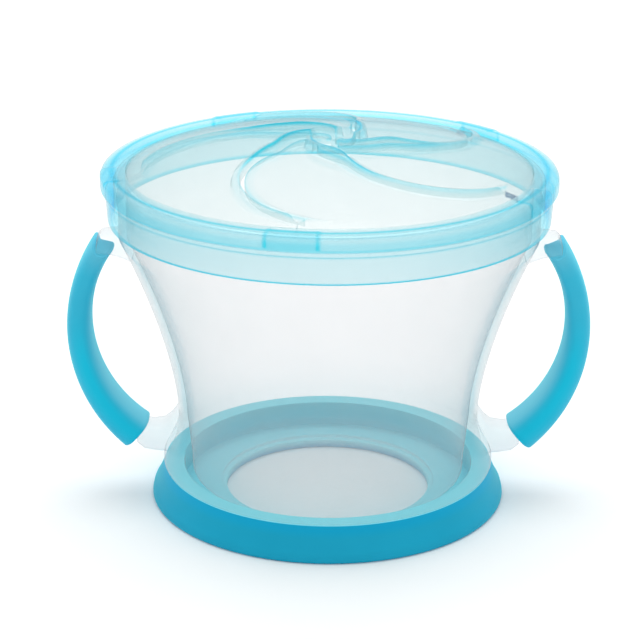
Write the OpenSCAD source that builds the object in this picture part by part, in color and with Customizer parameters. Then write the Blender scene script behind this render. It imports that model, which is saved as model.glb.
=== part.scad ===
// Toddler snack container: a clear two-handled cup with soft grips, a soft foot ring
// and a press-on lid whose pinwheel of curved flaps lets a hand in and keeps snacks in.
// Millimetres. +Z is up, the cup stands on z = 0, and the handles lie along X.

/* [Cup] */
// Diameter at the cup's waist
waist_d = 66.2; // [60:0.2:74]
// Height of the waist
waist_z = 20; // [17:0.5:23]
// How late the wall leans out above the waist (1 is a straight cone)
wall_curve = 1.55; // [1.2:0.05:2]
// Diameter of the upright neck under the lid
neck_d = 90.8; // [82:0.2:100]
// Height of the upright neck, from the leaning wall to the rim
neck_h = 12.3; // [11:0.1:14]
// Height of the cup's rim
rim_z = 73.3; // [66:0.1:82]
// Wall thickness
cup_wall = 1.8; // [1.2:0.1:2.2]
// Thickness of the cup's floor
cup_floor = 2; // [1.4:0.1:3]
// How much narrower the inside gets between the waist and the floor
inside_taper = 1.2; // [0.8:0.1:2]
// How far the flared foot stands out past the waist
foot_flare = 3.4; // [2.6:0.1:4.4]
// How far the plug under the foot steps in
plug_in = 4.5; // [4:0.1:5.5]
// How far the snap bead stands out from the neck
snap_bead = 0.4; // [0.2:0.05:0.6]

/* [Foot ring] */
// How far the ring stands out past the cup's foot, where it meets the table
ring_out = 2.8; // [1.5:0.1:5]
// Height of the ring's wall
ring_h = 7.6; // [6:0.1:9]
// Thickness of the ring's floor
ring_floor = 2; // [1.4:0.1:3]
// Diameter of the open middle
window_d = 45.2; // [36:0.2:50]

/* [Handles] */
// How far each handle reaches out past the neck
handle_out = 11.8; // [9:0.1:15]
// Radius of the handle's outer face, for each millimetre between the middles of its two arms
grip_outer_bow = 0.823; // [0.78:0.001:0.88]
// Radius of the handle's inner face, for each millimetre between the middles of its two arms
grip_inner_bow = 0.624; // [0.59:0.001:0.66]
// Thickness of the handle at its widest reach
grip_t = 5.4; // [4.8:0.1:6.4]
// Width of a grip, front to back
grip_w = 11; // [9:0.2:14]
// Thickness of the soft cover over the core
grip_skin = 1.5; // [1:0.1:1.8]
// How far the bare core lies below the soft cover
core_inset = 0.4; // [0.2:0.05:0.8]
// How far the upper arm's middle lies below the lid's skirt
arm_drop = 6.4; // [5:0.1:8]
// How far the lower arm's middle lies above the foot ring
arm_rise = 5.4; // [4.6:0.1:6.4]
// Thickness of the upper arm
arm_top_h = 4.8; // [4:0.1:5.4]
// Thickness of the lower arm
arm_low_h = 5.6; // [4.6:0.1:6]

/* [Lid] */
// Thickness of the land that rests on the cup's rim
land_t = 1.8; // [1.4:0.1:2.4]
// Depth of the skirt below the cup's rim
skirt_h = 8.7; // [7:0.1:9.8]
// Wall thickness of the skirt, under the step line
skirt_wall = 1.8; // [1.2:0.1:2.2]
// How far the rounded rim stands out past the skirt
rim_out = 1.1; // [0.8:0.1:1.6]
// Radius of the rounded rim
rim_round = 2.2; // [1.6:0.1:2.4]
// Depth of the thin step line below the cup's rim
step_depth = 2.8; // [2.4:0.1:4]
// Width of an anchor block, in degrees round the rim
block_turn = 12.6; // [8:0.2:16]
// How far the anchor blocks stand above the land
block_h = 0.5; // [0.2:0.1:1]

/* [Flaps] */
// Thickness of the soft flaps
flap_t = 1.2; // [0.8:0.1:1.4]
// Rise of the flaps to the middle of the lid
dome_rise = 6; // [4:0.1:8]
// Width of the sheet's fixed margin, outside the ends of the slits
margin_w = 3.5; // [3:0.1:4.5]
// Width of the curved slits, where they leave the eye
slit_gap = 1; // [0.6:0.1:1.4]
// How far a slit's outer edge is moved out, so that the slit opens towards the rim
slit_widen = 0.45; // [0.3:0.05:0.6]
// Nearest that a slit's circle comes to the lid's axis
slit_near = 2.5; // [2:0.1:3]
// How far a slit's circle would reach past the end of the slit
slit_past = 1.1; // [0.8:0.1:1.8]
// Radius of the open eye in the middle
eye_r = 3.4; // [3.2:0.1:5]
// Height of the lip along each flap's leading edge, at the middle of the lid
lip_h = 2.2; // [1:0.1:3]
// Width of that lip
lip_w = 1.8; // [1.2:0.1:2.4]
// Distance from the lid's axis at which the lip has faded into the sheet
lip_end_r = 30; // [26:0.5:34]

/* [Hidden] */
$fn = 96;
// Facets on the large shallow spheres, and points on one curved stretch of a profile
ball_fn = 200;
steps = 12;
flaps = 5;
turn = 360 / flaps;

// Running and seating clearance between pieces
clear = 0.3;
// Small edge break, larger edge break, and how far a cut or a joined piece runs past a face
edge = 0.4;
soft_edge = 0.7;
past = 1;
// Length of the half planes and wedges that trim other shapes
far = 100;

waist_r = waist_d / 2;
neck_r = neck_d / 2;
neck_z = rim_z - neck_h;
foot_r = waist_r + foot_flare;
plug_r = foot_r - plug_in;
ring_r = foot_r + ring_out;
window_r = window_d / 2;
recess_h = 1;
floor_top = ring_floor + cup_floor + recess_h;
floor_round = 4;
// Height of the foot's upright edge and of the ring's rounded toe
foot_edge = 1.6;
toe = 1.4;
flare_curve = 1.8;
toe_curve = 0.75;
bead_depth = 4.5;
bead_z = rim_z - bead_depth;
bead_half = 1;

// The lid's rim, land and skirt
land_z = rim_z + land_t;
land_r = neck_r - cup_wall - clear / 3;
skirt_in = neck_r + snap_bead + clear;
skirt_r = skirt_in + skirt_wall;
skirt_z = rim_z - skirt_h;
lid_r = skirt_r + rim_out;
step_z = rim_z - step_depth;
step_w = 0.3;
rim_under = 1.6;
block_bevel = 1.2;

// The two arcs that bound the left handle
grip_top_a = 145;
outer_round = 6.4;
inner_round = 8;
inner_rise = 1.7;
end_over = 1.64;
end_under = 2.14;
arm_tuck = 1.6;
arm_top_z = skirt_z - arm_drop;
arm_low_z = ring_h + arm_rise;
handle_reach = neck_r + handle_out;
grip_outer_r = grip_outer_bow * (arm_top_z - arm_low_z);
grip_inner_r = grip_inner_bow * (arm_top_z - arm_low_z);
outer_z = arm_top_z + end_over - grip_outer_r * sin(grip_top_a);
outer_c = [grip_outer_r - handle_reach, outer_z];
inner_c = [grip_inner_r + grip_t - handle_reach, outer_z + inner_rise];
grip_low_a = 180 + asin((outer_z - arm_low_z + end_under) / grip_outer_r);
// Extra turn of the core past the ends of the soft cover
core_turn = 3;

// The flaps lie on a shallow sphere
dome_r = land_r + clear;
dome_base = land_z - flap_t / 2;
ball_r = (dome_r * dome_r + dome_rise * dome_rise) / (2 * dome_rise);
ball_z = dome_base + dome_rise - ball_r;
function dome_z(r) = ball_z + sqrt(ball_r * ball_r - r * r);
lip_rise = dome_base + dome_rise + lip_h - dome_z(lip_end_r);
lip_ball_r = (lip_end_r * lip_end_r + lip_rise * lip_rise) / (2 * lip_rise);
lip_ball_z = dome_z(lip_end_r) + lip_rise - lip_ball_r;

// The slits are arcs of circles that pass near the axis and end at root_r
root_r = land_r - margin_w;
slit_r = (root_r + slit_past - slit_near) / 2;
slit_offset = slit_near + slit_r;
// Direction in which the first slit ends, and of its circle's centre
slit_a = 261;
arc_lead = acos((slit_offset * slit_offset + root_r * root_r - slit_r * slit_r)
                / (2 * slit_offset * root_r));
hinge_d = root_r * cos(turn / 2);
// Prisms that cut the sheet start under it and end above the lips
prism_z = dome_base - 2 * flap_t;
prism_h = dome_rise + lip_h + 4 * flap_t;

// Outline points on an arc
function arc(c, r, a0, a1) =
    [for (i = [0:steps]) c + r * [cos(a0 + (a1 - a0) * i / steps), sin(a0 + (a1 - a0) * i / steps)]];

// Outer wall of the cup above its waist, and its flare below
function wall_r(z) = waist_r + (neck_r - waist_r) * pow((z - waist_z) / (neck_z - waist_z), wall_curve);
function flare_r(z) =
    waist_r + foot_flare * pow((waist_z - z) / (waist_z - ring_h - foot_edge), flare_curve);

module wedge(a0, a1)
    polygon([[0, 0], far * [cos(a0), sin(a0)], far * [cos((a0 + a1) / 2), sin((a0 + a1) / 2)],
             far * [cos(a1), sin(a1)]]);

module cup_outside() {
    flare_top = ring_h + foot_edge;
    flare = [for (i = [0:steps]) let (z = flare_top + (waist_z - flare_top) * i / steps) [flare_r(z), z]];
    wall = [for (i = [1:2 * steps]) let (z = waist_z + (neck_z - waist_z) * i / (2 * steps)) [wall_r(z), z]];
    rotate_extrude()
        polygon(concat([[0, ring_floor], [plug_r - edge, ring_floor], [plug_r, ring_floor + edge],
                        [plug_r, ring_h], [foot_r - soft_edge, ring_h], [foot_r, ring_h + soft_edge]],
                       flare, wall,
                       [[neck_r, bead_z - bead_half], [neck_r + snap_bead, bead_z],
                        [neck_r, bead_z + bead_half],
                        [neck_r, rim_z - edge], [neck_r - edge, rim_z], [0, rim_z]]));
}

module cup_inside() {
    low_r = waist_r - cup_wall - inside_taper;
    mouth_r = neck_r - cup_wall;
    wall = [for (i = [0:2 * steps])
            let (z = waist_z + (neck_z - waist_z) * i / (2 * steps)) [wall_r(z) - cup_wall, z]];
    rotate_extrude()
        polygon(concat([[0, floor_top]],
                       arc([low_r - floor_round, floor_top + floor_round], floor_round, -90, 0),
                       wall,
                       [[mouth_r, rim_z - edge], [mouth_r + edge, rim_z],
                        [mouth_r + edge, rim_z + past], [0, rim_z + past]]));
}

// A bar that follows the left handle, inset below the soft cover's surface
module handle_bar(inset, a0, a1) {
    half_w = grip_w / 2 - inset;
    intersection() {
        translate([outer_c[0], 0, outer_c[1]])
            rotate([90, 0, 0])
                rotate_extrude()
                    intersection() {
                        translate([grip_outer_r - outer_round, 0]) circle(r = outer_round - inset);
                        translate([grip_outer_r - 2 * outer_round, -half_w])
                            square([2 * outer_round, 2 * half_w]);
                    }
        translate([inner_c[0], 0, inner_c[1]])
            rotate([90, 0, 0])
                rotate_extrude()
                    intersection() {
                        translate([grip_inner_r + inner_round, 0]) circle(r = inner_round - inset);
                        translate([grip_inner_r, -half_w]) square([2 * inner_round, 2 * half_w]);
                    }
        handle_sector(a0, a1);
    }
}

// The stretch of the left handle between two directions seen from its outer arc's centre
module handle_sector(a0, a1)
    translate([outer_c[0], 0, outer_c[1]])
        rotate([90, 0, 0])
            translate([0, 0, -grip_w])
                linear_extrude(2 * grip_w) wedge(a0, a1);

// A flat bar with round edges from x0 to x1 at height z
module arm(x0, x1, z, h) {
    w = grip_w - 2 * core_inset;
    translate([x0, 0, z])
        rotate([90, 0, 90])
            linear_extrude(x1 - x0) {
                square([w - h, h], center = true);
                for (s = [-1, 1]) translate([s * (w - h) / 2, 0]) circle(d = h);
            }
}

// The clear frame of the left handle: a core under the grip and two bare arms
module handle_frame() {
    top_x = outer_c[0] + grip_outer_r * cos(grip_top_a) + arm_tuck;
    low_x = outer_c[0] + grip_outer_r * cos(grip_low_a) + arm_tuck;
    handle_bar(grip_skin, grip_top_a - core_turn, grip_low_a + core_turn);
    difference() {
        union() {
            handle_bar(core_inset, grip_top_a - core_turn / 2, grip_top_a + core_turn / 2);
            arm(top_x, -waist_r, arm_top_z, arm_top_h);
            handle_bar(core_inset, grip_low_a - core_turn / 2, grip_low_a + core_turn / 2);
            arm(low_x, past - waist_r, arm_low_z, arm_low_h);
        }
        handle_sector(grip_top_a, grip_low_a);
    }
}

module cup()
    color([0.92, 0.95, 0.95, 0.6])
        difference() {
            union() {
                cup_outside();
                handle_frame();
                mirror([1, 0, 0]) handle_frame();
            }
            cup_inside();
            // Shallow recess under the floor, over the ring's open middle
            translate([0, 0, ring_floor - recess_h]) cylinder(h = 2 * recess_h, r = window_r + past);
        }

module grip()
    difference() {
        handle_bar(0, grip_top_a, grip_low_a);
        handle_bar(grip_skin, grip_top_a - core_turn, grip_low_a + core_turn);
    }

module left_grip() color([0.2, 0.71, 0.84]) grip();

module right_grip() color([0.2, 0.71, 0.84]) mirror([1, 0, 0]) grip();

// Soft ring: a floor with an open middle, and a flared wall round the cup's plug
module base_ring() {
    top_r = foot_r - clear;
    flare = [for (i = [0:steps])
             let (t = i / steps) [ring_r - (ring_r - top_r) * pow(t, toe_curve), toe + (ring_h - toe) * t]];
    color([0.13, 0.65, 0.78])
        rotate_extrude()
            polygon(concat([[window_r, edge], [window_r + edge, 0]],
                           arc([ring_r - toe, toe], toe, -90, 0),
                           flare,
                           [[plug_r + clear, ring_h], [plug_r + clear, ring_floor],
                            [window_r, ring_floor]]));
}

// One of the discs whose edges are the curved slits; widen opens it away from the eye
module swirl_disc(k, grow, widen = 0)
    rotate(slit_a + arc_lead + turn * k)
        translate([slit_offset + widen, 0]) circle(r = slit_r + grow + widen);

// Space over the cup's rim that the flaps' sheet fills
module dome_sheet()
    difference() {
        translate([0, 0, ball_z]) sphere(r = ball_r, $fn = ball_fn);
        translate([0, 0, ball_z]) sphere(r = ball_r - flap_t, $fn = ball_fn);
    }

// The fixed margin of the sheet, outside the flaps' hinge lines
module margin() {
    in_r = hinge_d - past;
    out_r = land_r + edge;
    rim = [for (i = [0:steps]) in_r + (out_r - in_r) * i / steps];
    difference() {
        rotate_extrude()
            polygon(concat([for (r = rim) [r, dome_z(r)]],
                           [for (i = [steps:-1:0]) [rim[i], dome_z(rim[i]) - flap_t]]));
        translate([0, 0, prism_z])
            rotate(slit_a) cylinder(h = prism_h, r = root_r, $fn = flaps);
        translate([0, 0, prism_z])
            linear_extrude(prism_h)
                for (k = [0:flaps - 1])
                    intersection() {
                        swirl_disc(k, slit_gap / 2, slit_widen);
                        wedge(slit_a + turn * (k - 1), slit_a + turn * k);
                    }
    }
}

module lid_ring() {
    block_in = land_r + edge;
    block_top = land_z + block_h;
    color([0.66, 0.89, 0.93]) {
        rotate_extrude()
            polygon(concat([[land_r, rim_z], [land_r, land_z - clear], [land_r + clear, land_z]],
                           arc([lid_r - rim_round, land_z - rim_round], rim_round, 90, 0),
                           [[lid_r, land_z - rim_round - soft_edge], [lid_r - soft_edge, rim_z - rim_under],
                            [skirt_r + step_w, step_z], [skirt_r, step_z - step_w],
                            [skirt_r - step_w, skirt_z + edge], [skirt_r - step_w - edge, skirt_z],
                            [skirt_in, skirt_z], [skirt_in, rim_z]]));
        margin();
        for (k = [0:flaps - 1])
            rotate(slit_a + turn * k - block_turn / 2)
                rotate_extrude(angle = block_turn)
                    polygon([[block_in, land_z - edge], [block_in, block_top],
                             [lid_r - block_bevel, block_top], [lid_r, block_top - block_bevel],
                             [lid_r, rim_z - past], [lid_r - past, rim_z - past],
                             [lid_r - past, land_z - edge]]);
    }
}

// Outline of one flap, from its hinge line to its tip at the eye
module flap_outline()
    difference() {
        intersection() {
            union() {
                intersection() {
                    swirl_disc(0, -slit_gap / 2);
                    wedge(slit_a + arc_lead - turn, slit_a + arc_lead);
                }
                wedge(slit_a + arc_lead, slit_a + arc_lead + turn);
            }
            circle(r = root_r);
            rotate(slit_a + turn / 2)
                translate([-far, -far]) square([far + hinge_d - clear, 2 * far]);
        }
        swirl_disc(1, slit_gap / 2, slit_widen);
        circle(r = eye_r);
    }

// A curved flap of the pinwheel, with a raised lip along its leading edge
module flap(k)
    color([0.8, 0.93, 0.95])
        rotate(turn * k) {
            intersection() {
                dome_sheet();
                translate([0, 0, prism_z]) linear_extrude(prism_h) flap_outline();
            }
            intersection() {
                difference() {
                    translate([0, 0, lip_ball_z]) sphere(r = lip_ball_r, $fn = ball_fn);
                    translate([0, 0, ball_z]) sphere(r = ball_r - flap_t / 2, $fn = ball_fn);
                }
                translate([0, 0, prism_z])
                    linear_extrude(prism_h)
                        intersection() {
                            flap_outline();
                            swirl_disc(1, slit_gap / 2 + lip_w, slit_widen);
                        }
            }
        }

module flap_1() flap(0);
module flap_2() flap(1);
module flap_3() flap(2);
module flap_4() flap(3);
module flap_5() flap(4);

cup();
left_grip();
right_grip();
base_ring();
lid_ring();
flap_1();
flap_2();
flap_3();
flap_4();
flap_5();
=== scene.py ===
# %% [markdown]
# # A toddler's snack cup
# A clear polypropylene cup with two soft grips and a soft foot ring, closed by a pale blue
# lid whose pinwheel of five soft flaps lets a small hand in. Almost everything here is
# see-through plastic, so the walls are modelled with their real thickness: light then gets
# bluer the longer it runs inside, which draws part of the dark edges; the deepest lines
# along cut edges and corners are painted light in the dye's colour.

# %% Load the frame
import math

import bmesh
import bpy
from mathutils import Matrix, Vector


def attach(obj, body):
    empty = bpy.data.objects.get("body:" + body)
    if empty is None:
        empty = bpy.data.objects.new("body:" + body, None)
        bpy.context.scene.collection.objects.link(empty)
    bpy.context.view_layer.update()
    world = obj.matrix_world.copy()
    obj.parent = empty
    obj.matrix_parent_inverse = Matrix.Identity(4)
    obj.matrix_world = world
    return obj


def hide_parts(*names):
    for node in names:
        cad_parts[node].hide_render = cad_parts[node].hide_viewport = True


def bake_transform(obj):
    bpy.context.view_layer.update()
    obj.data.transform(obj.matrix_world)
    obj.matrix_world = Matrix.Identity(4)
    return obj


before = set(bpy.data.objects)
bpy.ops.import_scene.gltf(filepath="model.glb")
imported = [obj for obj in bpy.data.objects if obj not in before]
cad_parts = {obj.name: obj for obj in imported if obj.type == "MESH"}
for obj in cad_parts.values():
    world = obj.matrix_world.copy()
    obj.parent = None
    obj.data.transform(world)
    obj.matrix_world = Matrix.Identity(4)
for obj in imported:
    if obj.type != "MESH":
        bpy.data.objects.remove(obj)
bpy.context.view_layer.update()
MM = 0.001

# Light crosses many clear walls here, so it is followed for longer than by default
WALL_CROSSINGS = 32
scene = bpy.context.scene
scene.view_settings.view_transform = "Standard"
scene.cycles.max_bounces = WALL_CROSSINGS
scene.cycles.diffuse_bounces = 8
scene.cycles.transmission_bounces = WALL_CROSSINGS
scene.cycles.transparent_max_bounces = WALL_CROSSINGS

# %% [markdown]
# ## Sizes
# The sizes are those of the construction drawing, in millimetres, and everything is turned
# to metres in one place, where a mesh is made. Radii are measured from the cup's axis.

# %% Sizes of the cup, the lid and the flaps
TURN = math.tau
AROUND = 192
WAIST_R, WAIST_Z = 33.1, 20.0
NECK_R, NECK_Z = 45.4, 61.0
RIM_Z = 73.3
CUP_WALL = 1.8
FOOT_R, FOOT_Z = 36.5, 7.6
PLUG_R, PLUG_Z = 32.0, 2.0
RECESS_R, RECESS_Z = 23.6, 3.0
FLOOR_R, FLOOR_Z = 30.1, 5.0
RING_R = 39.3
WINDOW_R = 22.6
LID_R = 49.0
LAND_R, LAND_Z = 43.5, 75.1
SKIRT_IN, SKIRT_Z = 46.1, 64.6
STEP_Z = 70.5
BAND_FOOT_Z = 72.0
CREASE_R = 46.5
FLAPS = 5
ROOT_R = 40.0
SLIT_A = math.radians(261)
DOME_R, DOME_Z, DOME_RISE = 43.8, 74.5, 6.0

# %% [markdown]
# ## Camera
# The photograph was taken from a little above with a long lens. Five circles of the cup
# (rim, step line, skirt, foot and base) fix where the camera stood, and the values below are
# that fit: a 127 mm lens half a metre away, looking down by 20 degrees.

# %% Camera
LENS_MM = 126.6
DISTANCE = 492.95 * MM
TARGET = Vector((-1.895, 0, 40.10)) * MM
ELEVATION = 0.35213
ROLL = -0.0056

camera_data = bpy.data.cameras.new("camera")
camera_data.lens = LENS_MM
camera_data.sensor_width = 36
camera = bpy.data.objects.new("camera", camera_data)
scene.collection.objects.link(camera)
stand = TARGET + DISTANCE * Vector((0, -math.cos(ELEVATION), math.sin(ELEVATION)))
camera.matrix_world = (Matrix.Translation(stand)
                       @ Matrix.Rotation(math.pi / 2 - ELEVATION, 4, "X")
                       @ Matrix.Rotation(-ROLL, 4, "Z"))
scene.camera = camera
print("camera at", [round(v, 4) for v in stand])

# %% [markdown]
# ## Colours and nodes
# Colours are written as sRGB hex values, as a designer would note them, and one function
# turns them to the linear values that shaders count in. One more function adds a node: it
# sets what it is given, on an input where the node has one of that name.

# %% Helpers for colours and nodes
def colour(hex_code):
    """sRGB hex to a linear RGBA tuple."""
    channels = [int(hex_code[i:i + 2], 16) / 255 for i in (1, 3, 5)]
    return tuple(c / 12.92 if c <= 0.04045 else ((c + 0.055) / 1.055) ** 2.4 for c in channels) + (1,)


def add(tree, kind, settings=None, links=None):
    """A new node of a tree, with its settings and what feeds its inputs."""
    made = tree.nodes.new(kind)
    for key, value in (settings or {}).items():
        if isinstance(key, str) and hasattr(made, key):
            setattr(made, key, value)
        else:
            made.inputs[key].default_value = value
    for key, source in (links or {}).items():
        tree.links.new(source, made.inputs[key])
    return made


def new_material(name):
    material = bpy.data.materials.new(name)
    material.use_nodes = True
    material.node_tree.nodes.clear()
    return material, material.node_tree


# %% [markdown]
# ## Floor and light
# A product table: a white sheet under and behind, and soft light from all round, so that
# clear plastic has white to show on every side. The world is white at strength one for the
# eye and weaker as a lamp, and one broad softbox above gives the shadow its place.

# %% World, softbox and floor
WORLD_AS_LAMP = 0.71
SOFTBOX_WATTS = 5.2
SOFTBOX_SIZE = (0.9, 0.7)
SOFTBOX_AT = Vector((0.0, 0.25, 0.85))
LIT_POINT = Vector((0, 0, 0.04))
FLOOR_HALF = 3

world = bpy.data.worlds.new("studio")
scene.world = world
world.use_nodes = True
tree = world.node_tree
tree.nodes.clear()
rays = add(tree, "ShaderNodeLightPath")
seen = add(tree, "ShaderNodeMath", {"operation": "MAXIMUM"},
           {0: rays.outputs["Is Camera Ray"], 1: rays.outputs["Is Glossy Ray"]})
seen = add(tree, "ShaderNodeMath", {"operation": "MAXIMUM"},
           {0: seen.outputs[0], 1: rays.outputs["Is Transmission Ray"]})
strength = add(tree, "ShaderNodeMapRange", {"To Min": WORLD_AS_LAMP, "To Max": 1.0},
               {"Value": seen.outputs[0]})
light = add(tree, "ShaderNodeBackground", {"Color": (1, 1, 1, 1)},
            {"Strength": strength.outputs["Result"]})
add(tree, "ShaderNodeOutputWorld", links={"Surface": light.outputs[0]})

softbox_data = bpy.data.lights.new("softbox", "AREA")
softbox_data.shape = "RECTANGLE"
softbox_data.size, softbox_data.size_y = SOFTBOX_SIZE
softbox_data.energy = SOFTBOX_WATTS
softbox = bpy.data.objects.new("softbox", softbox_data)
scene.collection.objects.link(softbox)
softbox.location = SOFTBOX_AT
softbox.rotation_euler = (LIT_POINT - SOFTBOX_AT).to_track_quat("-Z", "Y").to_euler()

paper, tree = new_material("white_paper")
rays = add(tree, "ShaderNodeLightPath")
tone = add(tree, "ShaderNodeMix", {"data_type": "RGBA", 6: colour("#F2F2F2"), 7: colour("#FFFFFF")},
           {0: rays.outputs["Is Camera Ray"]})
matt = add(tree, "ShaderNodeBsdfDiffuse", links={"Color": tone.outputs[2]})
add(tree, "ShaderNodeOutputMaterial", links={"Surface": matt.outputs[0]})

floor_mesh = bpy.data.meshes.new("floor")
corners = [(x * FLOOR_HALF, y * FLOOR_HALF, 0) for x, y in ((-1, -1), (1, -1), (1, 1), (-1, 1))]
floor_mesh.from_pydata(corners, [], [(0, 1, 2, 3)])
floor = bpy.data.objects.new("floor", floor_mesh)
scene.collection.objects.link(floor)
floor_mesh.materials.append(paper)
print("floor and softbox in place")

# %% [markdown]
# ## Clear plastics
# The colour of these plastics isn't on the surface: it is dye inside, so it is absorption
# per metre, and walls that light crosses lengthways come out far deeper than the faces.
#
# The cup is injection-moulded polypropylene, a little milky. Milkiness is light scattered on
# the way through, so it grows with the slant of the path: a share c for a straight crossing
# becomes 1 - exp(-c / cos). The rest goes straight on, as through any thin even wall, and
# each skin keeps back a little of it.
#
# Light that enters a dyed sheet is also led along it, like in a light guide, and comes out at
# its cut edges and corners in the full colour of the dye. It is painted light: a mesh attribute
# called edge marks those places, from 0 to 1, and the skin there passes only that colour.

# %% Moulded clear plastic
# Painted light: the colour that light piped along a dyed sheet shows at its cut edges and corners
PIPED = "#50E7F7"
LEAST_COSINE = 0.13
SKIN_IOR = 1.3


def clear_plastic(name, face, skin_tone, dye, per_metre, haze, roughness, grain_mm):
    """Clear moulding with a straight view through it, haze by slant and dye inside."""
    material, tree = new_material(name)
    place = add(tree, "ShaderNodeTexCoord")
    flow = add(tree, "ShaderNodeTexNoise", {"Scale": 1 / (grain_mm * MM), "Detail": 2.0},
               {"Vector": place.outputs["Object"]})
    cloud = add(tree, "ShaderNodeMapRange", {"To Min": 0.8 * haze, "To Max": 1.2 * haze},
                {"Value": flow.outputs["Fac"]})
    slant = add(tree, "ShaderNodeLayerWeight", {"Blend": 0.5})
    cosine = add(tree, "ShaderNodeMath", {"operation": "SUBTRACT", 0: 1 + LEAST_COSINE},
                 {1: slant.outputs["Facing"]})
    depth = add(tree, "ShaderNodeMath", {"operation": "DIVIDE"},
                {0: cloud.outputs["Result"], 1: cosine.outputs[0]})
    passed = add(tree, "ShaderNodeMath", {"operation": "POWER", 0: math.exp(-1)},
                 {1: depth.outputs[0]})
    share = add(tree, "ShaderNodeMath", {"operation": "SUBTRACT", 0: 1.0},
                {1: passed.outputs[0]})
    bump = add(tree, "ShaderNodeBump", {"Strength": 0.15, "Distance": 0.1 * MM},
               {"Height": flow.outputs["Fac"]})
    # Painted light: where the edge attribute is 1, the clear skin and the haze take the piped colour
    piped = add(tree, "ShaderNodeAttribute", {"attribute_name": "edge"})
    clear = add(tree, "ShaderNodeMix", {"data_type": "RGBA", 6: colour(skin_tone), 7: colour(PIPED)},
                {0: piped.outputs["Fac"]})
    pale = add(tree, "ShaderNodeMix", {"data_type": "RGBA", 6: colour(face), 7: colour(PIPED)},
               {0: piped.outputs["Fac"]})
    ahead = add(tree, "ShaderNodeBsdfTransparent", links={"Color": clear.outputs[2]})
    back = add(tree, "ShaderNodeBsdfDiffuse",
               links={"Color": pale.outputs[2], "Normal": bump.outputs["Normal"]})
    onward = add(tree, "ShaderNodeBsdfTranslucent",
                 links={"Color": pale.outputs[2], "Normal": bump.outputs["Normal"]})
    milk = add(tree, "ShaderNodeMixShader", {0: 0.5}, {1: back.outputs[0], 2: onward.outputs[0]})
    wall = add(tree, "ShaderNodeMixShader",
               links={0: share.outputs[0], 1: ahead.outputs[0], 2: milk.outputs[0]})
    gloss = add(tree, "ShaderNodeBsdfGlossy", {"Roughness": roughness},
                {"Normal": bump.outputs["Normal"]})
    side = add(tree, "ShaderNodeNewGeometry")
    fresnel = add(tree, "ShaderNodeFresnel", {"IOR": SKIN_IOR}, {"Normal": bump.outputs["Normal"]})
    # Gloss is only on the side towards the eye: from inside, Fresnel would turn a wall to metal
    mirror = add(tree, "ShaderNodeMapRange", {"To Max": 0.0},
                 {"Value": side.outputs["Backfacing"], "To Min": fresnel.outputs[0]})
    skin = add(tree, "ShaderNodeMixShader",
               links={0: mirror.outputs[0], 1: wall.outputs[0], 2: gloss.outputs[0]})
    inside = add(tree, "ShaderNodeVolumeAbsorption", {"Color": colour(dye), "Density": per_metre})
    add(tree, "ShaderNodeOutputMaterial",
        links={"Surface": skin.outputs[0], "Volume": inside.outputs[0]})
    return material


POLYPROPYLENE = clear_plastic("milky_clear_polypropylene", "#E4E3E6", "#FCFBFB", "#00C4CC",
                              per_metre=16, haze=0.085, roughness=0.2, grain_mm=11)
LID_PLASTIC = clear_plastic("dyed_clear_polypropylene", "#D6ECF0", "#FEFFFF", "#00EAF8",
                            per_metre=128, haze=0.09, roughness=0.1, grain_mm=7)
FLAP_SOFT = clear_plastic("dyed_clear_elastomer", "#CDE0E4", "#FDFCFB", "#00EAF8",
                          per_metre=42, haze=0.06, roughness=0.15, grain_mm=6)

# %% [markdown]
# ## Soft blue elastomer
# The grips and the foot ring are overmoulded thermoplastic elastomer, a satin rubber. It has
# a fine spark-eroded grain and soft highlights, and a sheen stands for the light that goes a
# little way into it.

# %% Blue elastomer
def soft_rubber(name, body, deep, wet, shade):
    """Satin elastomer, with painted light and painted shade in its colour. Where the painted-light
    attribute is 1 it is painted paler, as where the clear cup lies on it and brightens it, and where
    shade is 1 it is painted deeper, as in a groove whose walls send only its own colour to and fro."""
    material, tree = new_material(name)
    place = add(tree, "ShaderNodeTexCoord")
    cloud = add(tree, "ShaderNodeTexNoise", {"Scale": 1 / (14 * MM), "Detail": 3.0},
                {"Vector": place.outputs["Object"]})
    ramp = add(tree, "ShaderNodeValToRGB", links={"Fac": cloud.outputs["Fac"]})
    ramp.color_ramp.elements[0].position = 0.35
    ramp.color_ramp.elements[0].color = colour(deep)
    ramp.color_ramp.elements[1].position = 0.65
    ramp.color_ramp.elements[1].color = colour(body)
    grain = add(tree, "ShaderNodeTexNoise", {"Scale": 1 / (0.5 * MM), "Detail": 2.0},
                {"Vector": place.outputs["Object"]})
    bump = add(tree, "ShaderNodeBump", {"Strength": 0.12, "Distance": 0.05 * MM},
               {"Height": grain.outputs["Fac"]})
    satin = add(tree, "ShaderNodeMapRange", {"To Min": 0.42, "To Max": 0.55},
                {"Value": grain.outputs["Fac"]})
    # Painted light: paler where this attribute is 1
    painted_light_mask = add(tree, "ShaderNodeAttribute", {"attribute_name": "wet"})
    tone = add(tree, "ShaderNodeMix", {"data_type": "RGBA", 7: colour(wet)},
               {0: painted_light_mask.outputs["Fac"], 6: ramp.outputs["Color"]})
    # Painted shade: deeper where the shade attribute is 1
    groove = add(tree, "ShaderNodeAttribute", {"attribute_name": "shade"})
    tone = add(tree, "ShaderNodeMix", {"data_type": "RGBA", 7: colour(shade)},
               {0: groove.outputs["Fac"], 6: tone.outputs[2]})
    skin = add(tree, "ShaderNodeBsdfPrincipled",
               {"IOR": 1.5, "Specular IOR Level": 0.15, "Sheen Weight": 0.5, "Sheen Roughness": 0.35,
                "Sheen Tint": colour("#70FFFF")},
               {"Base Color": tone.outputs[2], "Roughness": satin.outputs["Result"],
                "Normal": bump.outputs["Normal"]})
    add(tree, "ShaderNodeOutputMaterial", links={"Surface": skin.outputs[0]})
    return material


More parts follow.
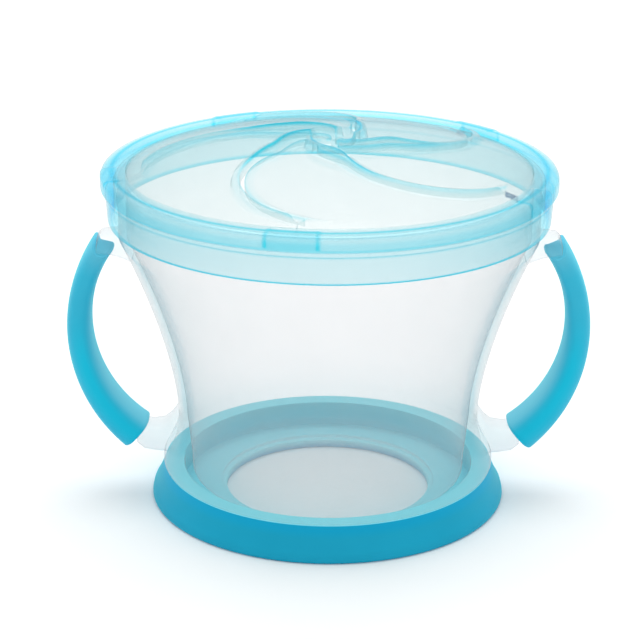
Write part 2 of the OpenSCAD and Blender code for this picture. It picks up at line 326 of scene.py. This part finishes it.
# Colours: body, deep, painted light (paler), painted shade (deeper)
GRIP_RUBBER = soft_rubber("overmoulded_blue_elastomer", "#3CC4E4", "#36BEE0", "#8CDDEE", "#00CCEC")
RING_RUBBER = soft_rubber("moulded_blue_elastomer", "#14AED2", "#10AACE", "#89EEFB", "#00AEDA")

# %% [markdown]
# ## Shapes that are turned
# The cup, the ring and the lid's rim are bodies of revolution, so each is an outline of a few
# corners with real fillet radii, turned about the axis. A corner is rounded by swapping it
# for a short curve that leaves both sides smoothly.

# %% Helpers for turned shapes
def rounded(corners, points=5):
    """Outline (r, z) from corners (r, z) or (r, z, fillet), taken as a closed loop."""
    outline = []
    for i, corner in enumerate(corners):
        fillet = corner[2] if len(corner) > 2 else 0
        here = Vector(corner[:2])
        if not fillet:
            outline.append(tuple(here))
            continue
        before = Vector(corners[i - 1][:2]) - here
        after = Vector(corners[(i + 1) % len(corners)][:2]) - here
        half = before.angle(after) / 2
        reach = min(fillet / math.tan(half), 0.49 * before.length, 0.49 * after.length)
        start, end = here + before.normalized() * reach, here + after.normalized() * reach
        for k in range(points + 1):
            t = k / points
            outline.append(tuple(start.lerp(here, t).lerp(here.lerp(end, t), t)))
    return outline


def turned(outline, around, swell=None):
    """Points and faces of a closed (r, z) outline turned about Z; swell(point, angle) may move it."""
    points, faces = [], []
    rings = []
    for r, z in outline:
        if r < 1e-6:
            rings.append([len(points)] * around)
            points.append((0, 0, z))
            continue
        rings.append(range(len(points), len(points) + around))
        for k in range(around):
            angle = TURN * k / around
            rr, zz = swell((r, z), angle) if swell else (r, z)
            points.append((rr * math.cos(angle), rr * math.sin(angle), zz))
    for i, ring in enumerate(rings):
        after = rings[(i + 1) % len(rings)]
        for k in range(around):
            m = (k + 1) % around
            corners = []
            for v in (ring[k], ring[m], after[m], after[k]):
                if v not in corners:
                    corners.append(v)
            if len(corners) > 2:
                faces.append(corners)
    return points, faces


def add_piece(name, points, faces, material, sharp=30, **marks):
    """A mesh object from millimetre points; marks are attributes, one number for each point."""
    mesh = bpy.data.meshes.new(name)
    mesh.from_pydata([tuple(MM * v for v in p) for p in points], [], faces)
    tidy = bmesh.new()
    tidy.from_mesh(mesh)
    bmesh.ops.recalc_face_normals(tidy, faces=tidy.faces)
    tidy.to_mesh(mesh)
    tidy.free()
    mesh.shade_smooth()
    mesh.set_sharp_from_angle(angle=math.radians(sharp))
    mesh.materials.append(material)
    for mark, values in marks.items():
        mesh.attributes.new(mark, "FLOAT", "POINT").data.foreach_set("value", values)
    piece = bpy.data.objects.new(name, mesh)
    scene.collection.objects.link(piece)
    return piece


# %% [markdown]
# ## The cup
# One wall of even thickness: it narrows to a waist above the foot and leans out to an
# upright neck. Below the foot a plug goes down into the ring, and a snap bead runs round
# the neck. The real cup's handles grow out of the same moulding.

# %% Cup
LEAN, FLARE = 1.55, 1.8
FLARE_Z = FOOT_Z + 1.6
SNAP_Z, SNAP_HALF, SNAP_OUT = 68.8, 1.0, 0.4


def wall_r(z):
    return WAIST_R + (NECK_R - WAIST_R) * ((z - WAIST_Z) / (NECK_Z - WAIST_Z)) ** LEAN


def flare_r(z):
    return WAIST_R + (FOOT_R - WAIST_R) * ((WAIST_Z - z) / (WAIST_Z - FLARE_Z)) ** FLARE


def span(low, high, count):
    return [low + (high - low) * i / count for i in range(count + 1)]


cup_outline = rounded(
    [(0, RECESS_Z), (RECESS_R, RECESS_Z, 0.4), (RECESS_R, PLUG_Z, 0.4), (PLUG_R, PLUG_Z, 0.5),
     (PLUG_R, FOOT_Z, 0.3), (FOOT_R, FOOT_Z, 0.6)]
    + [(flare_r(z), z) for z in span(FLARE_Z, WAIST_Z, 14)]
    + [(wall_r(z), z) for z in span(WAIST_Z, NECK_Z, 48)[1:]]
    + [(NECK_R, SNAP_Z - SNAP_HALF), (NECK_R + SNAP_OUT, SNAP_Z, 0.5), (NECK_R, SNAP_Z + SNAP_HALF),
       (NECK_R, RIM_Z, 0.5), (NECK_R - CUP_WALL, RIM_Z, 0.5)]
    + [(wall_r(z) - CUP_WALL, z) for z in reversed(span(WAIST_Z, NECK_Z, 48))]
    + [(FLOOR_R + 0.1, FLOOR_Z + 4.5), (FLOOR_R, FLOOR_Z, 4), (0, FLOOR_Z)])
cup = add_piece("cup_wall", *turned(cup_outline, AROUND), POLYPROPYLENE)
print("cup outline points:", len(cup_outline))

# %% [markdown]
# ## The handles
# Each handle is a bow between two arcs. The soft grip has a square section with well rounded
# sides, and its upper end is hollowed. Two short clear arms join it to the cup's wall.

# %% Helpers for the handles
def step_in(value, start, length):
    """0 before start, then up to 1 over a length, smoothly."""
    t = min(1, max(0, (value - start) / length))
    return t * t * (3 - 2 * t)


def bell(distance, width):
    """1 at a line, fading to 0 on both sides."""
    return math.exp(-(distance / width) ** 2)


OUTER_C, OUTER_R = Vector((-20, 38.5)), 37.2
INNER_C, INNER_R = Vector((-23.6, 40.2)), 28.2
GRIP_TOP, GRIP_LOW = math.radians(145), math.radians(228)
GRIP_W = 11.0


def bow_section(angle, inset, around=40, square=2.7):
    """Points of the left bow's section where a ray from the outer arc's centre cuts it."""
    ray = Vector((math.cos(angle), math.sin(angle)))
    outer = OUTER_C + OUTER_R * ray
    along = (OUTER_C - INNER_C).dot(ray)
    across = (OUTER_C - INNER_C).length_squared - INNER_R ** 2
    inner = OUTER_C + (-along + math.sqrt(along * along - across)) * ray
    middle, half = (outer + inner) / 2, (outer - inner).length / 2 - inset
    points = []
    for k in range(around):
        t = TURN * k / around
        c, s = math.cos(t), math.sin(t)
        out = half * math.copysign(abs(c) ** (2 / square), c)
        wide = (GRIP_W / 2 - inset) * math.copysign(abs(s) ** (2 / square), s)
        spot = middle + out * ray
        points.append((spot[0], wide, spot[1]))
    return points


def lofted(sections):
    """Points and faces of a closed solid through a row of like sections."""
    around = len(sections[0])
    points = [p for section in sections for p in section]
    faces = [tuple(range(around)), tuple(range(len(points) - around, len(points)))]
    for i in range(len(sections) - 1):
        for k in range(around):
            m = (k + 1) % around
            faces.append((i * around + k, i * around + m, (i + 1) * around + m, (i + 1) * around + k))
    return points, faces


# %% Grips
SCOOP, SCOOP_FADE = math.radians(3.6), math.radians(9)


def grip_row(angle, inset, scoop):
    """A row of the grip; scoop turns the middle of the row on, so that the end is hollowed."""
    here, there = bow_section(angle, inset), bow_section(angle + SCOOP * scoop, inset)
    row = []
    for k, (p, q) in enumerate(zip(here, there)):
        share = 1 - abs(math.cos(TURN * k / len(here))) ** 2
        row.append(tuple(Vector(p).lerp(Vector(q), share)))
    return row


for side, name in ((-1, "right"), (1, "left")):
    ends = 0.6 / OUTER_R
    rows = [grip_row(GRIP_TOP, 0.5, 1), grip_row(GRIP_TOP + ends * 0.4, 0.15, 1)]
    rows += [grip_row(a, 0, max(0, 1 - (a - GRIP_TOP) / SCOOP_FADE))
             for a in span(GRIP_TOP + ends, GRIP_LOW - ends, 96)]
    rows += [bow_section(GRIP_LOW - ends * 0.4, 0.15), bow_section(GRIP_LOW, 0.5)]
    points, faces = lofted(rows)
    wet, shade = [], []
    for i, row in enumerate(rows):
        along = i / (len(rows) - 1)
        for k in range(len(row)):
            inner = -math.cos(TURN * k / len(row))
            # Painted light: pale at the top end and on the upward inner facet lower down; painted shade:
            # deep along the inner side
            top_end = 0.4 * max(0, 1 - along / 0.16)
            facet = 0.6 * step_in(inner, 0.35, 0.6) * step_in(along, 0.3, 0.5)
            wet.append(top_end + facet)
            shade.append(0.9 * bell(inner - 0.1, 0.45) * step_in(along, 0.25, 0.35))
    grip = add_piece(f"{name}_soft_grip", [(x * side, y, z) for x, y, z in points], faces,
                     GRIP_RUBBER, wet=wet, shade=shade)
    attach(grip, "cup")
    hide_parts(f"{name}_grip")
print("grip rows:", len(rows))


# %% Arms of the handles
ARM_HALF = 5.1
# Stations along an arm, from inside the wall to inside the grip: x, middle height, height
TOP_ARM = ((-42.6, 57.6, 7.5), (-44.4, 57.8, 6.2), (-46.2, 58.0, 5.2), (-47.6, 58.1, 4.8),
           (-49.2, 58.0, 4.6), (-50.0, 57.7, 3.8))
LOW_ARM = ((-32.2, 14.6, 12.5), (-33.6, 14.2, 10.4), (-34.8, 13.6, 8.0), (-36.4, 13.1, 6.4),
           (-38.6, 13.0, 5.7), (-40.6, 13.3, 5.5), (-42.2, 14.2, 4.4))


def arm_sections(stations):
    """Rounded sections (x, middle height, height) of a bare arm from the cup's wall to the grip."""
    rows = []
    for x, z, h in stations:
        row = []
        for k in range(40):
            c, s = math.cos(TURN * k / 40), math.sin(TURN * k / 40)
            row.append((x, ARM_HALF * math.copysign(abs(c) ** 0.7, c),
                        z + h / 2 * math.copysign(abs(s) ** 0.7, s)))
        rows.append(row)
    return rows


arms = []
for side in (1, -1):
    for label, stations in (("top", TOP_ARM), ("low", LOW_ARM)):
        points, faces = lofted(arm_sections(stations))
        arm = add_piece(f"arm_{label}_{side}", [(x * side, y, z) for x, y, z in points], faces,
                        POLYPROPYLENE)
        join = cup.modifiers.new("join", "BOOLEAN")
        join.operation = "UNION"
        join.solver = "MANIFOLD"
        join.object = arm
        arms.append(arm)
depsgraph = bpy.context.evaluated_depsgraph_get()
solid = bpy.data.meshes.new_from_object(cup.evaluated_get(depsgraph))
cup.modifiers.clear()
cup.data = solid
solid.shade_smooth()
solid.set_sharp_from_angle(angle=math.radians(30))
for arm in arms:
    bpy.data.objects.remove(arm)
print("cup faces:", len(solid.polygons))
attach(cup, "cup")
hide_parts("cup")

# %% [markdown]
# ## The foot ring
# A flared soft ring with a floor, open in the middle. The cup's plug sits in it.

# %% Foot ring
SLACK = 0.05
TOE, RING_TOP_R, RING_CURVE = 1.4, 36.3, 0.75
SHOULDER_H = 6.0
COVERED_R = 36.2

ring_outline = rounded(
    [(WINDOW_R, 0.0, 0.5), (RING_R, 0.0, TOE)]
    + [(RING_R - (RING_R - RING_TOP_R) * (i / 12) ** RING_CURVE, TOE + SHOULDER_H * i / 12)
       for i in range(1, 13)]
    + [(RING_TOP_R - 0.2, FOOT_Z - SLACK, 0.3), (PLUG_R + 2 * SLACK, FOOT_Z - SLACK, 0.2),
       (PLUG_R + 2 * SLACK, PLUG_Z - SLACK), (WINDOW_R, PLUG_Z - SLACK, 0.3)])
points, faces = turned(ring_outline, AROUND)
# Painted light: the ring is painted paler where the clear cup lies over it
wet = [float(z > 1.5 and math.hypot(x, y) < COVERED_R) for x, y, z in points]
# Painted shade: the groove under the cup's edge is painted deeper in colour over the ring's top 1.6 mm
shade = [float(math.hypot(x, y) > COVERED_R) * min(1, max(0, (z - 5.0) / 1.6)) for x, y, z in points]
ring = add_piece("soft_foot_ring", points, faces, RING_RUBBER, wet=wet, shade=shade)
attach(ring, "cup")
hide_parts("base_ring")

# %% [markdown]
# ## The lid's rim
# The rim is turned too, but five anchor blocks stand out of it where the slits end. They
# are made by moving the turned points outwards over a few degrees, so the rim stays one skin.
# Painted lines of piped light, in the dye's colour, run along its corners: the crease over
# the cup's rim, the foot of the rounded band, the step line, the skirt's lower edge and the
# upright sides of the blocks.

# %% Lid rim
BLOCK_TURN = math.radians(12.6)
BLOCK_UP, BLOCK_OUT = 0.1, 0.12
RIM_AROUND = 720


def off_block(angle):
    """Turn between an angle and the middle of the nearest anchor block."""
    pitch = TURN / FLAPS
    return (angle - SLIT_A + pitch / 2) % pitch - pitch / 2


def block_swell(point, angle):
    r, z = point
    rise = min(1, max(0, (BLOCK_TURN / 2 - abs(off_block(angle))) / math.radians(0.5) + 1))
    if z > LAND_Z - 2.6 and r > LAND_R + 0.6:
        z += BLOCK_UP * rise * min(1, (z - LAND_Z + 2.6) / 1.2)
        r = min(LID_R, r + BLOCK_OUT * rise)
    return r, z


def finer(outline, step):
    """The same closed outline with no two points further apart than step."""
    points = []
    for i, here in enumerate(outline):
        after = outline[(i + 1) % len(outline)]
        parts = max(1, math.ceil(math.dist(here, after) / step))
        points += [tuple(Vector(here).lerp(Vector(after), k / parts)) for k in range(parts)]
    return points


def rim_edge(x, y, z):
    """How much painted piped light, in the dye's colour, shows at a point of the rim."""
    r, angle = math.hypot(x, y), math.atan2(y, x)
    inner_face = r < 45.0 and z < LAND_Z - 0.2 or r < SKIRT_IN + 0.5 and z < LAND_Z - 0.6
    if inner_face:
        return 0.0
    # Painted light: lines of piped light at the crease, band foot, step line, skirt edge and block sides
    shown = 0.95 * bell(r - CREASE_R, 0.6) * (z > LAND_Z - 0.3)
    shown += 0.5 * bell(z - BAND_FOOT_Z, 0.35) + 0.35 * bell(z - BAND_FOOT_Z - 1, 1.0)
    shown += 0.55 * bell(z - STEP_Z, 0.22) + 0.9 * bell(z - SKIRT_Z, 0.4)
    side = (abs(off_block(angle)) - BLOCK_TURN / 2) * r
    if z > BAND_FOOT_Z + 0.2 and r > 45.5:
        shown += 0.6 * bell(side, 0.4) + 0.3 * (side < 0)
    return min(1.0, shown)


rim_outline = finer(rounded(
    [(LAND_R, RIM_Z + SLACK, 0.2), (LAND_R, LAND_Z, 0.4), (45.2, LAND_Z), (LID_R, LAND_Z, 2.2),
     (LID_R, 71.9, 0.5), (48.3, 71.4, 0.3), (48.2, STEP_Z + 0.15), (47.85, STEP_Z - 0.05),
     (48.0, STEP_Z - 0.25), (47.6, SKIRT_Z, 0.4), (SKIRT_IN, SKIRT_Z, 0.3),
     (SKIRT_IN, RIM_Z + SLACK, 0.4)]), 0.3)
points, faces = turned(rim_outline, RIM_AROUND, block_swell)
rim = add_piece("lid_rim", points, faces, LID_PLASTIC, edge=[rim_edge(*p) for p in points])
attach(rim, "lid")
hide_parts("lid_ring")
print("rim points:", len(points))

# %% [markdown]
# ## The pinwheel
# The flaps are one soft domed sheet, cut by five curved slits. A slit is an arc from the rim
# that hooks tighter near the middle. At each radius a flap spans one fifth of a turn, so a
# flap is a grid in radius and in distance from its two edges: a raised lip stands along one
# edge, from near the middle to just short of the rim, and a low bead runs along the other.

# %% Course of a slit
SLIT_R, SLIT_OFFSET = 19.3, 21.8
SLIT_GAP = 1.0
FLAP_T = 1.2
EYE_R = 2.7
ARC_LEAD = math.acos((SLIT_OFFSET ** 2 + ROOT_R ** 2 - SLIT_R ** 2) / (2 * SLIT_OFFSET * ROOT_R))
HOOK, HOOK_R = math.radians(150), 14.0


def slit_angle(r):
    """Angle of a slit's middle line at radius r."""
    inside = (SLIT_OFFSET ** 2 + r * r - SLIT_R ** 2) / (2 * SLIT_OFFSET * r)
    hook = HOOK * max(0, 1 - r / HOOK_R) ** 2
    return SLIT_A + ARC_LEAD - math.acos(min(1, inside)) - hook


def slit_slant(r):
    """Cosine of the angle between a slit and the ray from the axis."""
    change = (slit_angle(r + 0.1) - slit_angle(r - 0.1)) / 0.2
    return 1 / math.hypot(1, r * change)


for r in (3, 8, 14, 20, 30, 39):
    print("slit at", r, "mm:", round(math.degrees(slit_angle(r))), "deg")


# %% Section across a flap
LIP_H, LIP_LOW = 2.5, 1.3
LIP_START, LIP_END = 4.6, 39.8
BEAD_H = 0.45
# Where a petal's grid ends, just short of the rim, and the height that no lip passes
PETAL_R, TOP_Z = 43.4, 82.6
# Distance in from the edge, share of the height, share of the painted piped light that shows
LIP_SECTION = ((0, 0.90, 1.0), (0.12, 0.98, 1.0), (0.4, 1.0, 0.6), (0.7, 1.0, 0.12), (1.2, 0.98, 0.08),
               (1.45, 0.85, 0.2), (1.65, 0.4, 0.1), (1.9, 0.06, 0.15), (2.2, 0, 0.0))
BEAD_SECTION = ((0, 0.5, 0.6), (0.15, 0.85, 0.5), (0.4, 1.0, 0.2), (0.9, 0.9, 0.08), (1.3, 0.5, 0.05),
                (1.6, 0.12, 0.12), (1.9, 0, 0.0))


def piped_light_share(r):
    """How much of the painted line of piped light shows: deep where the lip is high, faint further out."""
    return 1 - 0.7 * step_in(r, 19, 9)


def dome_z(r):
    return DOME_Z + DOME_RISE * (1 - (r / DOME_R) ** 2)


def lip_share(r):
    """1 along the lip: it stands up steeply near the middle and ends so at the block."""
    return step_in(r, LIP_START, 0.5) * (1 - step_in(r, LIP_END, 0.5))


def lip_height(r):
    return LIP_H + (LIP_LOW - LIP_H) * step_in(r, 10, 14)


# %% Flap
def flap_row(r, columns):
    """One row across a flap: angle, lift and edge share of each point."""
    root = min(r, ROOT_R)
    slant = slit_slant(min(root, 38.5))
    close = min(1, max(0, (r - ROOT_R) / 0.6))
    gap = SLIT_GAP / 2 / (root * slant) * (1 - close)
    start = slit_angle(root) + gap
    stop = slit_angle(root) + TURN / FLAPS - gap
    per_mm = 1 / (r * slant)
    fit = min(1, 0.5 * (stop - start) / (2.2 * per_mm))
    lip, bead = lip_share(r), (1 - close) * step_in(r, 3.5, 1.5)
    # Painted light: the piped-light tint along the bead's edge
    pale = (1 - close) * (0.4 + 0.6 * piped_light_share(r))
    row = [(start + d * fit * per_mm, h * BEAD_H * bead, e * pale) for d, h, e in BEAD_SECTION]
    end = [(stop - d * fit * per_mm, h * lip_height(r) * lip, e * piped_light_share(r) * max(lip, 0.3 * (1 - close)))
           for d, h, e in reversed(LIP_SECTION)]
    a, b = row[-1][0], end[0][0]
    row += [(a + (b - a) * k / columns, 0, 0) for k in range(1, columns)]
    return row + end


def flap_mesh(k, columns=40):
    radii = span(EYE_R, 8, 26) + span(8, 38, 75)[1:] + span(38, PETAL_R, 27)[1:]
    top, bottom, edge, under = [], [], [], []
    for r in radii:
        for angle, lift, shown in flap_row(r, columns):
            toward = angle + k * TURN / FLAPS
            x, y = r * math.cos(toward), r * math.sin(toward)
            top.append((x, y, min(dome_z(r) + lift, TOP_Z)))
            bottom.append((x, y, dome_z(r) - FLAP_T))
            edge.append(shown)
            under.append(0.0)
    wide = len(top) // len(radii)
    low = len(top)
    faces = []
    for i in range(len(radii) - 1):
        for j in range(wide - 1):
            a, b, c, d = i * wide + j, i * wide + j + 1, (i + 1) * wide + j + 1, (i + 1) * wide + j
            faces += [(a, b, c, d), (low + d, low + c, low + b, low + a)]
    rows = len(radii)
    loop = (list(range(wide)) + [i * wide + wide - 1 for i in range(1, rows)]
            + [(rows - 1) * wide + j for j in range(wide - 2, -1, -1)]
            + [i * wide for i in range(rows - 2, 0, -1)])
    # The cut face has one more row of points just under its top corner, where the painted line of piped
    # light ends
    ledge = []
    for a in loop:
        x, y, z = top[a]
        ledge.append((x, y, z - 0.3 - 0.5 * piped_light_share(math.hypot(x, y))))
    for i, a in enumerate(loop):
        n = (i + 1) % len(loop)
        b = loop[n]
        faces.append((a, b, 2 * low + n, 2 * low + i))
        faces.append((2 * low + i, 2 * low + n, low + b, low + a))
        # Painted light: a faint piped-light tint at the cut face's lower corner and its ledge
        under[a] = 0.05
    return top + bottom + ledge, faces, edge + under + [0.1] * len(ledge)


for k in range(FLAPS):
    points, faces, edge = flap_mesh(k)
    petal = add_piece(f"petal_{k + 1}", points, faces, FLAP_SOFT, sharp=40, edge=edge)
    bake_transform(petal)
    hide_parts(f"flap_{k + 1}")
print("petals:", FLAPS, "of", len(points), "points")
